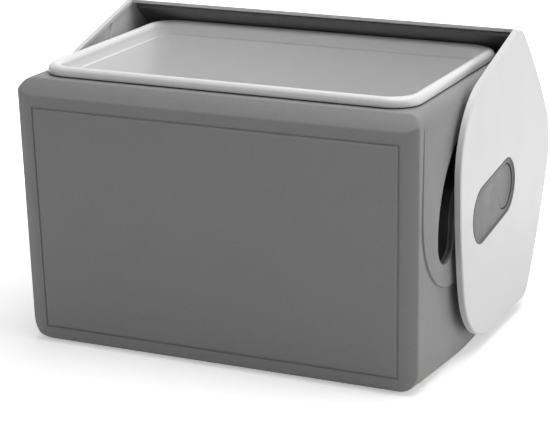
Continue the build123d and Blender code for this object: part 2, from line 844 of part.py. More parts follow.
right_track, left_track = both_ends(latch_track())
right_pin, left_pin = both_ends(pivot_pin())
right_bush, left_bush = both_ends(hub_bush())
parts = {
    "outer_shell": outer_shell(),
    "foam_core": foam_core(),
    "liner": liner(),
    "rim_gasket": rim_gasket(),
    "fill_plugs": group(fill_plugs()),
    "latch_track_right": leaf_seat(right_track),
    "latch_track_left": left_track,
    "detent_leaf": detent_leaf(),
    "pivot_pin_right": right_pin,
    "pivot_pin_left": left_pin,
    "lid_shell": lay_open(lid_shell()),
    "lid_liner": lay_open(lid_liner()),
    "lid_foam": lay_open(lid_foam()),
    "carry_handle": lay_open(carry_handle()),
    "handle_screws": lay_open(group(handle_screws())),
    "hub_bush_right": lay_open(right_bush),
    "hub_bush_left": lay_open(left_bush),
    "hub_cover_right": lay_open(hub_cover(True)),
    "hub_cover_left": lay_open(mirror(hub_cover(False), about=Plane.YZ)),
    "button_guide": lay_open(button_guide()),
    "track_follower": lay_open(mirror(track_follower(), about=Plane.YZ)),
    "guide_screws": lay_open(group(guide_screws())),
    "push_button": lay_open(push_button()),
    "button_stem": lay_open(button_stem()),
    "button_spring": lay_open(button_spring()),
}

os.makedirs("parts", exist_ok=True)
for name, part in parts.items():
    export_step(part, f"parts/{name}.step")
print(f"lid lies open at {open_angle:.3f} degrees from shut; inner sweep radius {lid_inner_radius:.2f}")
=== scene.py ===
"""Looks of the swing-lid cooler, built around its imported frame, in metres."""

import json
import logging
import math
from dataclasses import dataclass
from enum import Enum
from functools import partial
from typing import Callable, Optional, Union

import bmesh
import bpy
from mathutils import Matrix, Vector


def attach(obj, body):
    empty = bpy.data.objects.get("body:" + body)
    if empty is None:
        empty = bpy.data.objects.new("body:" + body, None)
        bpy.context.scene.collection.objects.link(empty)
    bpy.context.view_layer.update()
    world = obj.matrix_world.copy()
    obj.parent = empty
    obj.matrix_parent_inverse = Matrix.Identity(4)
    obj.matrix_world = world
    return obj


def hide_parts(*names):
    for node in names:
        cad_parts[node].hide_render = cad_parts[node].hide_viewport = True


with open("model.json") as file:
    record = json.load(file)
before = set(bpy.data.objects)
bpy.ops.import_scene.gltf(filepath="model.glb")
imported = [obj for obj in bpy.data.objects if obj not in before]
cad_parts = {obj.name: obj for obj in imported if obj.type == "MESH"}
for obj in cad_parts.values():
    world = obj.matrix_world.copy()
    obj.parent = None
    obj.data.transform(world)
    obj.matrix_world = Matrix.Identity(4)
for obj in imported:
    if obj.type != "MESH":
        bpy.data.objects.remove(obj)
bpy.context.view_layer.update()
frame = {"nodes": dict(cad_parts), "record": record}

LOG = logging.getLogger("cooler")
MM = 0.001  # metres in a millimetre
CUT_TOLERANCE = 1e-4  # millimetres within which a corner lies on a cut
MERGE_DISTANCE = 1e-3  # millimetres within which two places are one
FLUSH = 0.1  # millimetres within which a corner lies in a face
PIVOT_Z = 117.5  # height of the lid's pivots, in millimetres
BUTTON_REACH = 60.5  # from the pivots to the button's centre, in millimetres

Number = Union[int, float]
Pair = tuple[float, float]
Triple = tuple[float, float, float]
Colour = tuple[float, float, float, float]
Shape = bmesh.types.BMesh
Edge = bmesh.types.BMEdge
Corner = bmesh.types.BMVert
Draw = Callable[[Shape], None]


class Body(Enum):
    """Bodies of the frame that pieces ride on."""

    TUB = "body"
    LID = "lid"
    BUTTON = "button"


class Slot(Enum):
    """Material slots of the record."""

    SHELL = "shell_plastic"
    LINER = "liner_plastic"
    LID = "lid_plastic"
    LID_LINER = "lid_liner_plastic"
    COVER = "cover_plastic"
    DARK = "dark_plastic"
    PIN = "pin_plastic"
    STEEL = "spring_steel"
    FOAM = "foam"


class End(Enum):
    """Ends of the cooler, as signs of X."""

    LEFT = -1
    RIGHT = 1


class Side(Enum):
    """Long sides of the cooler, as signs of Y."""

    FRONT = -1
    BACK = 1


class Rounded(Enum):
    """Parts of a mesh that a rounding is laid on."""

    EDGES = "EDGES"
    CORNERS = "VERTICES"


Materials = dict[Slot, bpy.types.Material]


class Wire:
    """Shader output on which Python arithmetic adds Math nodes."""

    def __init__(self, kit: "NodeKit", socket: Optional[bpy.types.NodeSocket]) -> None:
        self.kit = kit
        self.socket = socket

    def math(self, operation: str, *values: Union["Wire", Number]) -> "Wire":
        """Adds one Math node.

        Args:
            operation: Name of the Math node's operation.
            values: Its inputs, in order.

        Returns:
            The node's output.
        """
        return self.kit.node("ShaderNodeMath", {"operation": operation}, dict(enumerate(values)))

    def __add__(self, other: Union["Wire", Number]) -> "Wire":
        """Returns self + other."""
        return self.math("ADD", self, other)

    def __radd__(self, other: Number) -> "Wire":
        """Returns other + self."""
        return self.math("ADD", other, self)

    def __sub__(self, other: Union["Wire", Number]) -> "Wire":
        """Returns self - other."""
        return self.math("SUBTRACT", self, other)

    def __rsub__(self, other: Number) -> "Wire":
        """Returns other - self."""
        return self.math("SUBTRACT", other, self)

    def __mul__(self, other: Union["Wire", Number]) -> "Wire":
        """Returns self * other."""
        return self.math("MULTIPLY", self, other)

    def __rmul__(self, other: Number) -> "Wire":
        """Returns other * self."""
        return self.math("MULTIPLY", other, self)

    def larger(self, other: "Wire") -> "Wire":
        """Returns the larger of self and other."""
        return self.math("MAXIMUM", self, other)

    def ramp(self, low: float, high: float, out_low: float = 0.0, out_high: float = 1.0) -> "Wire":
        """Maps a range to another one, smoothly and clamped.

        Args:
            low: Value that gives out_low.
            high: Value that gives out_high.
            out_low: Result at low.
            out_high: Result at high.

        Returns:
            The mapped value.
        """
        values = {
            "Value": self, "From Min": low, "From Max": high, "To Min": out_low, "To Max": out_high}
        return self.kit.node("ShaderNodeMapRange", {"interpolation_type": "SMOOTHSTEP"}, values)


class NodeKit:
    """Adds nodes to one material or world and links them."""

    MIX_FACTOR, MIX_LOW, MIX_HIGH, MIX_RESULT = 0, 6, 7, 2  # the Mix node's colour sockets

    def __init__(self, tree: bpy.types.NodeTree) -> None:
        """Empties the tree."""
        self.tree = tree
        tree.nodes.clear()

    def node(
        self,
        kind: str,
        settings: Optional[dict] = None,
        values: Optional[dict] = None,
        output: Union[int, str] = 0,
    ) -> Wire:
        """Adds a node: its settings first, then the values or links of its sockets.

        Args:
            kind: Node type.
            settings: Attributes of the node.
            values: Numbers, tuples or wires by input name or number.
            output: Name or number of the output that is returned.

        Returns:
            The chosen output.
        """
        made = self.tree.nodes.new(kind)
        for name, value in (settings or {}).items():
            setattr(made, name, value)
        for name, value in (values or {}).items():
            if isinstance(value, Wire):
                self.tree.links.new(value.socket, made.inputs[name])
            else:
                made.inputs[name].default_value = value
        return Wire(self, made.outputs[output] if len(made.outputs) else None)

    def place(self) -> Wire:
        """Returns the point on the surface in the object's own coordinates."""
        return self.node("ShaderNodeTexCoord", output="Object")

    def noise(self, scale: float, detail: float = 2.0) -> Wire:
        """Adds a noise pattern.

        Args:
            scale: Cells per metre.
            detail: Octaves.

        Returns:
            The pattern, from 0 to 1.
        """
        values = {"Vector": self.place(), "Scale": scale, "Detail": detail}
        return self.node("ShaderNodeTexNoise", None, values)

    def cells(self, width_mm: float) -> Wire:
        """Adds a pattern of rounded cells.

        Args:
            width_mm: Width of a cell, in millimetres.

        Returns:
            The distance from each cell's centre.
        """
        values = {"Vector": self.place(), "Scale": 1.0 / (width_mm * MM), "Smoothness": 1.0}
        return self.node("ShaderNodeTexVoronoi", {"feature": "SMOOTH_F1"}, values)

    def blend(self, factor: Wire, low: Colour, high: Colour) -> Wire:
        """Blends two colours.

        Args:
            factor: Share of the second colour.
            low: First colour.
            high: Second colour.

        Returns:
            The blended colour.
        """
        values = {self.MIX_FACTOR: factor, self.MIX_LOW: low, self.MIX_HIGH: high}
        return self.node("ShaderNodeMix", {"data_type": "RGBA"}, values, self.MIX_RESULT)

    def bump(self, height: Wire, depth_mm: float) -> Wire:
        """Adds a bump.

        Args:
            height: Pattern from 0 to 1.
            depth_mm: Height of the pattern, in millimetres.

        Returns:
            The bumped normal.
        """
        values = {"Height": height, "Distance": depth_mm * MM, "Strength": 1.0}
        return self.node("ShaderNodeBump", None, values)


def grey(value: float) -> Colour:
    """Returns a neutral colour with full alpha."""
    return (value, value, value, 1.0)


@dataclass(frozen=True)
class Finish:
    """Base of all finishes: a shader with one tone and small variation of it."""

    slot: Slot
    tone: float
    roughness: float
    cloud_scale: float = 14.0
    cloud_share: float = 0.03
    sheen_scale: float = 40.0
    sheen_share: float = 0.03
    sheen_range: Pair = (0.3, 0.7)

    def normal(self, kit: NodeKit) -> Wire:
        """Returns the surface's normal, which each finish gives."""
        raise NotImplementedError

    def colour(self, kit: NodeKit) -> Wire:
        """Returns the tone with faint clouds.

        Args:
            kit: Adds the nodes.

        Returns:
            The colour.
        """
        low, high = self.tone * (1 - self.cloud_share), self.tone * (1 + self.cloud_share)
        return kit.blend(kit.noise(self.cloud_scale, detail=3.0), grey(low), grey(high))

    def sheen(self, kit: NodeKit) -> Wire:
        """Returns the surface's roughness, which varies a little.

        Args:
            kit: Adds the nodes.

        Returns:
            The roughness.
        """
        low, high = self.roughness - self.sheen_share, self.roughness + self.sheen_share
        return kit.noise(self.sheen_scale).ramp(*self.sheen_range, low, high)

    def constants(self) -> dict[str, float]:
        """Returns sockets that are the same all over the surface."""
        return {}

    def make(self) -> bpy.types.Material:
        """Makes the material.

        Returns:
            The finished material.
        """
        material = bpy.data.materials.new(self.slot.value)
        material.use_nodes = True
        kit = NodeKit(material.node_tree)
        values = {
            "Base Color": self.colour(kit), "Roughness": self.sheen(kit),
            "Normal": self.normal(kit), **self.constants()}
        shader = kit.node("ShaderNodeBsdfPrincipled", None, values)
        kit.node("ShaderNodeOutputMaterial", None, {"Surface": shader})
        return material


@dataclass(frozen=True)
class GrainedPlastic(Finish):
    """Moulded plastic with a fine pebbled grain."""

    grain_mm: float = 1.1
    grain_depth_mm: float = 0.05
    speckle: float = 0.06
    speckle_range: Pair = (0.1, 0.8)
    pebble_share: float = 0.7
    fine_share: float = 0.5
    fine_ratio: float = 2.6
    drift_scale: float = 9.0

    def normal(self, kit: NodeKit) -> Wire:
        """Lays pebbles and a finer skin on the surface.

        Args:
            kit: Adds the nodes.

        Returns:
            The pebbled normal.
        """
        pebbles = kit.cells(self.grain_mm)
        fine = kit.noise(self.fine_ratio / (self.grain_mm * MM))
        height = pebbles * self.pebble_share + fine * self.fine_share
        return kit.bump(height, self.grain_depth_mm)

    def colour(self, kit: NodeKit) -> Wire:
        """Lays a faint speckle in the grain's valleys, on a slow drift of the tone.

        Args:
            kit: Adds the nodes.

        Returns:
            The colour.
        """
        pebbles = kit.cells(self.grain_mm).ramp(*self.speckle_range)
        drift = kit.noise(self.drift_scale)
        mix = pebbles * self.pebble_share + drift * (1 - self.pebble_share)
        low, high = self.tone * (1.0 + self.speckle), self.tone * (1.0 - self.speckle)
        return kit.blend(mix, grey(low), grey(high))


@dataclass(frozen=True)
class GlossPlastic(Finish):
    """Smooth plastic with the faint waves of a moulding."""

    cloud_scale: float = 11.0
    darker: float = 0.985
    lighter: float = 1.01
    wave_mm: float = 30.0
    wave_depth_mm: float = 0.05
    skin_scale: float = 900.0
    skin_share: float = 0.02

    def normal(self, kit: NodeKit) -> Wire:
        """Lays slow waves and a fine skin on the surface.

        Args:
            kit: Adds the nodes.

        Returns:
            The slightly wavy normal.
        """
        waves = kit.noise(1.0 / (self.wave_mm * MM), detail=1.0)
        skin = kit.noise(self.skin_scale)
        return kit.bump(waves + skin * self.skin_share, self.wave_depth_mm)

    def colour(self, kit: NodeKit) -> Wire:
        """Returns a pale tone with faint clouds."""
        clouds = kit.noise(self.cloud_scale, detail=3.0)
        return kit.blend(clouds, grey(self.tone * self.darker), grey(self.tone * self.lighter))


@dataclass(frozen=True)
class DrawnSteel(Finish):
    """Plain steel of screws and springs, with fine drawing marks."""

    mark_scale: float = 2500.0
    mark_depth_mm: float = 0.01

    def normal(self, kit: NodeKit) -> Wire:
        """Returns the scratched normal."""
        return kit.bump(kit.noise(self.mark_scale, detail=3.0), self.mark_depth_mm)

    def constants(self) -> dict[str, float]:
        """Returns the metal's fixed sockets."""
        return {"Metallic": 1.0}


@dataclass(frozen=True)
class RigidFoam(Finish):
    """Pale rigid foam with small cells, sealed inside the walls."""

    cell_mm: float = 1.4
    cell_depth_mm: float = 0.2
    spot_scale: float = 60.0
    deep_tint: Triple = (1.0, 0.9, 0.62)
    pale_tint: Triple = (1.0, 0.93, 0.7)

    def normal(self, kit: NodeKit) -> Wire:
        """Returns the cellular normal."""
        return kit.bump(kit.cells(self.cell_mm), self.cell_depth_mm)

    def colour(self, kit: NodeKit) -> Wire:
        """Returns the foam's yellowish tone."""
        tints = [(*(self.tone * c for c in tint), 1.0) for tint in (self.deep_tint, self.pale_tint)]
        return kit.blend(kit.noise(self.spot_scale, detail=4.0), *tints)


def finishes() -> Materials:
    """Makes the material of each slot.

    Returns:
        Material by slot.
    """
    made = [
        GrainedPlastic(Slot.SHELL, tone=0.265, roughness=0.52),
        GlossPlastic(Slot.LINER, tone=0.86, roughness=0.22),
        GlossPlastic(Slot.LID, tone=0.75, roughness=0.36, wave_depth_mm=0.03),
        # dark grey lid liner: partly its own colour, partly painted shade of the lid's deep hollow
        GrainedPlastic(
            Slot.LID_LINER, tone=0.10, roughness=0.5, grain_mm=0.8, grain_depth_mm=0.03),
        GrainedPlastic(
            Slot.COVER, tone=0.085, roughness=0.45, grain_mm=0.7, grain_depth_mm=0.02,
            speckle=0.03),
        # near black: partly dark plastic of the pockets and gaps that wear it, partly painted shade
        # inside them
        GrainedPlastic(Slot.DARK, tone=0.06, roughness=0.5, grain_mm=0.9, grain_depth_mm=0.03),
        GrainedPlastic(Slot.PIN, tone=0.10, roughness=0.4, grain_mm=0.6, grain_depth_mm=0.01),
        DrawnSteel(Slot.STEEL, tone=0.55, roughness=0.3),
        RigidFoam(Slot.FOAM, tone=0.8, roughness=0.8),
    ]
    return {finish.slot: finish.make() for finish in made}


@dataclass(frozen=True)
class Lamp:
    """Soft rectangular lamp, with its place and size in metres and its power in watts."""

    name: str
    place: Triple
    aim: Triple
    size: Pair
    power: float

    def add(self) -> None:
        """Adds the lamp to the scene."""
        data = bpy.data.lights.new(self.name, "AREA")
        data.shape = "RECTANGLE"
        data.size, data.size_y = self.size
        data.energy = self.power
        lamp = bpy.data.objects.new(self.name, data)
        lamp.location = self.place
        toward = Vector(self.aim) - Vector(self.place)
        lamp.rotation_euler = toward.to_track_quat("-Z", "Y").to_euler()
        bpy.context.scene.collection.objects.link(lamp)


@dataclass
class Studio:
    """Camera, lamps, floor and background."""

    focal_px: float = 2004.2
    azimuth: float = 24.0
    elevation: float = 16.05
    roll: float = -0.323
    distance: float = 1.67684
    target: Triple = (0.0, 0.0, 0.125)
    pan: Pair = (0.00832, -0.0107)
    centre_px: Pair = (285.06, 194.37)
    image_px: tuple[int, int] = (550, 440)
    sensor_mm: float = 36.0
    lamps: tuple[Lamp, ...] = (
        Lamp("top_lamp", (0.25, 0.15, 1.7), (0.0, 0.0, 0.15), size=(1.7, 1.4), power=22.0),
        Lamp("side_lamp", (1.9, 0.3, 0.75), (0.1, 0.0, 0.12), size=(1.3, 1.1), power=10.5),
        Lamp("front_lamp", (-0.6, -1.4, 2.2), (0.0, 0.0, 0.12), size=(1.2, 0.8), power=4.0),
    )
    fill: float = 0.15
    seen_rays: tuple[str, ...] = ("Is Camera Ray", "Is Glossy Ray", "Is Transmission Ray")
    floor_half: float = 6.0
    floor_tone: float = 0.78
    # distances and near glow of the floor's painted shade round the object
    shadow_reach: float = 0.31
    shadow_end: float = 0.6
    lift: float = 0.42

    def camera(self) -> None:
        """Adds the camera at the photograph's place."""
        a, e, r = (math.radians(v) for v in (self.azimuth, self.elevation, self.roll))
        back = Vector((math.sin(a) * math.cos(e), -math.cos(a) * math.cos(e), math.sin(e)))
        right = Vector((math.cos(a), math.sin(a), 0.0))
        up = back.cross(right)
        turned = right * math.cos(r) + up * math.sin(r)
        upright = up * math.cos(r) - right * math.sin(r)
        data = bpy.data.cameras.new("camera")
        width, height = self.image_px
        data.sensor_width = self.sensor_mm
        data.lens = self.focal_px * self.sensor_mm / width
        data.shift_x = (width / 2 - self.centre_px[0]) / width
        data.shift_y = (self.centre_px[1] - height / 2) / width
        camera = bpy.data.objects.new("camera", data)
        place = Vector(self.target) + back * self.distance
        place += turned * self.pan[0] + upright * self.pan[1]
        axes = Matrix((turned, upright, back)).transposed().to_4x4()
        camera.matrix_world = Matrix.Translation(place) @ axes
        bpy.context.scene.collection.objects.link(camera)
        bpy.context.scene.camera = camera

    def seen(self, kit: NodeKit) -> Wire:
        """Tells rays that show the background from rays that light the object.

        Args:
            kit: Adds the nodes.

        Returns:
            1 for rays that show the background, and 0 for the others.
        """
        camera, glossy, through = (
            kit.node("ShaderNodeLightPath", output=name) for name in self.seen_rays)
        return camera.larger(glossy).larger(through)

    def background(self) -> None:
        """Gives the world a dim fill and a white backdrop."""
        world = bpy.data.worlds.new("studio")
        bpy.context.scene.world = world
        world.use_nodes = True
        kit = NodeKit(world.node_tree)
        strength = self.seen(kit).ramp(0.0, 1.0, self.fill, 1.0)
        values = {"Color": grey(1.0), "Strength": strength}
        shader = kit.node("ShaderNodeBackground", None, values)
        kit.node("ShaderNodeOutputWorld", None, {"Surface": shader})

    def floor(self) -> None:
        """Adds the pale floor, which glows white away from the object and glows less near it:
        painted shade round the object's real shadow.
        """
        shape = bmesh.new()
        bmesh.ops.create_grid(shape, x_segments=1, y_segments=1, size=self.floor_half)
        floor = settle(shape, "floor")
        material = bpy.data.materials.new("floor_paper")
        material.use_nodes = True
        kit = NodeKit(material.node_tree)
        seen = self.seen(kit)
        colour = kit.blend(seen, grey(self.floor_tone), grey(1.0))
        paper = kit.node("ShaderNodeBsdfDiffuse", None, {"Color": colour})
        settings = {"operation": "LENGTH"}
        away = kit.node("ShaderNodeVectorMath", settings, {0: kit.place()}, "Value")
        # the glow fades towards the object, from 1 at shadow_end down to lift at shadow_reach:
        # painted shade round its base
        glow_with_painted_shade = seen * away.ramp(self.shadow_reach, self.shadow_end, self.lift, 1.0)
        light = kit.node("ShaderNodeEmission", None, {"Color": grey(1.0), "Strength": glow_with_painted_shade})
        both = kit.node("ShaderNodeAddShader", None, {0: paper, 1: light})
        kit.node("ShaderNodeOutputMaterial", None, {"Surface": both})
        floor.data.materials.append(material)

    def build(self) -> None:
        """Sets the whole studio up."""
        bpy.context.scene.view_settings.view_transform = "Standard"
        self.camera()
        for lamp in self.lamps:
            lamp.add()
        self.background()
        self.floor()


def settle(shape: Shape, name: str) -> bpy.types.Object:
    """Turns a bmesh into a linked object.

    Args:
        shape: The finished mesh, which is freed.
        name: The object's name.

    Returns:
        The new object.
    """
    mesh = bpy.data.meshes.new(name)
    shape.to_mesh(mesh)
    shape.free()
    made = bpy.data.objects.new(name, mesh)
    bpy.context.scene.collection.objects.link(made)
    return made


def square(shape: Shape, place: Matrix) -> list[Corner]:
    """Adds a face of 2 by 2, moved and stretched by a matrix, and returns its corners."""
    return bmesh.ops.create_grid(shape, x_segments=1, y_segments=1, size=1.0, matrix=place)["verts"]


def raise_faces(shape: Shape, step: Vector) -> list[Corner]:
    """Extrudes all faces of a mesh.

    Args:
        shape: Mesh that is extruded.
        step: Direction and length.

    Returns:
        The corners of the moved faces.
    """
    made = bmesh.ops.extrude_face_region(shape, geom=shape.faces[:])["geom"]
    moved = [part for part in made if isinstance(part, Corner)]
    bmesh.ops.translate(shape, verts=moved, vec=step)
    return moved


def round_off(
    shape: Shape,
    parts: Union[list[Edge], list[Corner]],
    width: float,
    segments: int,
    kind: Rounded = Rounded.EDGES,
    clamp: bool = True,
) -> None:
    """Rounds edges or corners.

    Args:
        shape: Mesh that holds them.
        parts: The edges or corners.
        width: Width of the rounding.
        segments: Faces across the rounding.
        kind: What the parts are.
        clamp: Whether the width is held back where roundings would meet.
    """
    bmesh.ops.bevel(
        shape, geom=parts, offset=width, offset_type="OFFSET", segments=segments, profile=0.5,
        affect=kind.value, clamp_overlap=clamp, material=-1)


def tangents(steps: int) -> list[float]:
    """Returns the middle angles of equal steps over a quarter turn."""
    return [(step + 0.5) / steps * math.pi / 2 for step in range(steps)]


def slice_off(shape: Shape, point: Vector, normal: Vector) -> None:
    """Cuts away what lies beyond a plane and closes the cut.

    Args:
        shape: Closed mesh that is cut.
        point: A point of the plane.
        normal: Direction in which everything is removed.
    """
    geometry = shape.verts[:] + shape.edges[:] + shape.faces[:]
    cut = bmesh.ops.bisect_plane(
        shape, geom=geometry, dist=CUT_TOLERANCE, plane_co=point, plane_no=normal.normalized(),
        clear_outer=True)
    rim = [part for part in cut["geom_cut"] if isinstance(part, Edge)]
    if rim:
        bmesh.ops.contextual_create(shape, geom=rim)


def soften(
    shape: Shape,
    width: float,
    segments: int = 3,
    least_angle: float = 28.0,
    wanted: Optional[Callable[[Edge], bool]] = None,
) -> None:
    """Rounds the sharp edges of a mesh.

    Args:
        shape: Mesh whose edges are rounded.
        width: Width of the rounding.
        segments: Faces across the rounding.
        least_angle: Smallest angle between two faces, in degrees, that counts as an edge.
        wanted: Test that picks the edges among the sharp ones.
    """
    limit = math.radians(least_angle)
    inner = [e for e in shape.edges if len(e.link_faces) == 2]
    sharp = [e for e in inner if e.calc_face_angle(0.0) > limit]
    round_off(shape, [e for e in sharp if wanted is None or wanted(e)], width, segments)


def ring(shape: Shape, half: Pair, radius: float, z: float, segments: int = 10) -> list[Edge]:
    """Adds a rounded rectangle of edges at a height.

    Args:
        shape: Mesh that it is added to.
        half: Half of its length and half of its depth.
        radius: Radius of its corners.
        z: Its height.
        segments: Edges in each corner.

    Returns:
        Its edges.
    """
    corners = square(shape, Matrix.Translation((0, 0, z)) @ Matrix.Diagonal((*half, 1, 1)))
    before = set(shape.edges) - set(corners[0].link_faces[0].edges)
    round_off(shape, corners, radius, segments, Rounded.CORNERS, False)
    edges = [e for e in shape.edges if e not in before]
    faces = {face for edge in edges for face in edge.link_faces}
    bmesh.ops.delete(shape, geom=list(faces), context="FACES_ONLY")
    return [e for e in edges if e.is_valid]


def skin(shape: Shape, rings: list[list[Edge]]) -> None:
    """Joins a row of rings and closes both ends.

    Args:
        shape: Mesh that holds the rings.
        rings: The rings in order.
    """
    for lower, upper in zip(rings, rings[1:]):
        bmesh.ops.bridge_loops(shape, edges=lower + upper)
    for end in (rings[0], rings[-1]):
        bmesh.ops.contextual_create(shape, geom=end)
    bmesh.ops.recalc_face_normals(shape, faces=shape.faces[:])


def prism_along_x(draw: Draw, start: float, stop: float, lift: float) -> Shape:
    """Extrudes a side view along X.

    Args:
        draw: Draws one face, in Y and Z as X and Y, into a mesh.
        start: X of the prism's inner face.
        stop: X of the prism's outer face.
        lift: Height of the drawing's origin.

    Returns:
        The closed prism.
    """
    shape = bmesh.new()
    draw(shape)
    raise_faces(shape, Vector((0, 0, stop - start)))
    turn = Matrix(((0, 0, 1, start), (1, 0, 0, 0), (0, 1, 0, lift), (0, 0, 0, 1)))
    bmesh.ops.transform(shape, matrix=turn, verts=shape.verts[:])
    bmesh.ops.recalc_face_normals(shape, faces=shape.faces[:])
    return shape


def carve(shape: Shape, tools: list[Shape]) -> Shape:
    """Cuts closed tool meshes out of a closed mesh.

    Args:
        shape: Mesh that is cut, which is freed.
        tools: Meshes that are cut out, which are freed.

    Returns:
        The cut mesh.
    """
    base = settle(shape, "carved")
    cutters = [settle(tool, "cutter") for tool in tools]
    for cutter in cutters:
        cut = base.modifiers.new("cut", "BOOLEAN")
        cut.operation = "DIFFERENCE"
        cut.solver = "EXACT"
        cut.object = cutter
    bpy.context.view_layer.update()
    result = bmesh.new()
    result.from_object(base, bpy.context.evaluated_depsgraph_get())
    for done in [base] + cutters:
        mesh = done.data
        bpy.data.objects.remove(done)
        bpy.data.meshes.remove(mesh)
    bmesh.ops.remove_doubles(result, verts=result.verts[:], dist=MERGE_DISTANCE)
    return result


def mirrored(shape: Shape, end: End) -> Shape:
    """Takes a mesh of the right end to either end.

    Args:
        shape: Mesh of the right end, which is changed.
        end: End that it is wanted at.

    Returns:
        The same mesh.
    """
    bmesh.ops.scale(shape, vec=(end.value, 1, 1), verts=shape.verts[:])
    bmesh.ops.recalc_face_normals(shape, faces=shape.faces[:])
    return shape


def joined(parts: list[Shape]) -> Shape:
    """Gathers meshes into one.

    Args:
        parts: Meshes that are joined, which are freed.

    Returns:
        The joined mesh.
    """
    whole = bmesh.new()
    for part in parts:
        mesh = bpy.data.meshes.new("part")
        part.to_mesh(mesh)
        part.free()
        whole.from_mesh(mesh)
        bpy.data.meshes.remove(mesh)
    return whole


def hand_in(
    shape: Shape,
    name: str,
    body: Body,
    slot: Slot,
    materials: Materials,
    nodes: tuple[str, ...],
    smooth_angle: float = 30.0,
) -> bpy.types.Object:
    """Scales a mesh from millimetres, dresses it and sets it on its body in place of its nodes.

    Args:
        shape: Finished mesh in millimetres, which is freed.
        name: Name of the piece.
        body: Body that it rides on.
        slot: Material slot that it wears.
        materials: Material by slot.
        nodes: Nodes of the frame that it stands for.
        smooth_angle: Largest angle between faces, in degrees, that is shaded smoothly.

    Returns:
        The new object.
    """
    bmesh.ops.scale(shape, vec=(MM, MM, MM), verts=shape.verts[:])
    bmesh.ops.recalc_face_normals(shape, faces=shape.faces[:])
    for face in shape.faces:
        face.smooth = True
    piece = settle(shape, name)
    piece.data.set_sharp_from_angle(angle=math.radians(smooth_angle))
    piece.data.materials.append(materials[slot])
    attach(piece, body.value)
    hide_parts(*nodes)
    return piece


